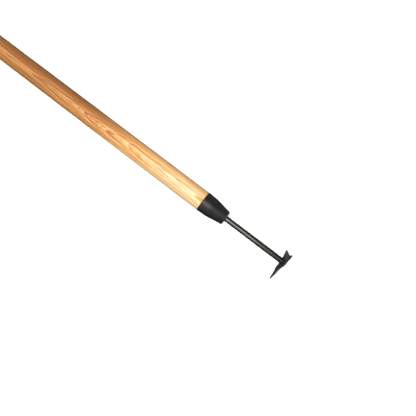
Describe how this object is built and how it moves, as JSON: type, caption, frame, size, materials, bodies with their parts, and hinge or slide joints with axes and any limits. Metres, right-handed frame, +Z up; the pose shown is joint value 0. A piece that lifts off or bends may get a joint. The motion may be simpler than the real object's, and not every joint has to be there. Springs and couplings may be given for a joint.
{
  "type": "long-handled patio knife",
  "caption": "Long-handled patio knife with a round wooden handle, a conical black collar, a steel rod and a pointed star-shaped blade.",
  "frame": {"origin": "middle of the bounding box, at the ground that the tool lies on", "axes": "+X along the tool, from the knob of the handle to the blade; +Z up; the creased beak and one wing of the blade touch the ground, the beak on the -Y side"},
  "size_m": [1.513, 0.0552, 0.0484],
  "materials": {
    "ash": "clear satin varnish",
    "black_plastic": "moulded satin black",
    "shank_steel": "dark drawn steel",
    "blade_steel": "mottled dark forging skin",
    "washer_steel": "worn turned steel"
  },
  "bodies": {
    "root": {"handle": "ash", "collar": "black_plastic", "shank": "shank_steel", "blade": "blade_steel", "washer": "washer_steel"}
  },
  "joints": []
}
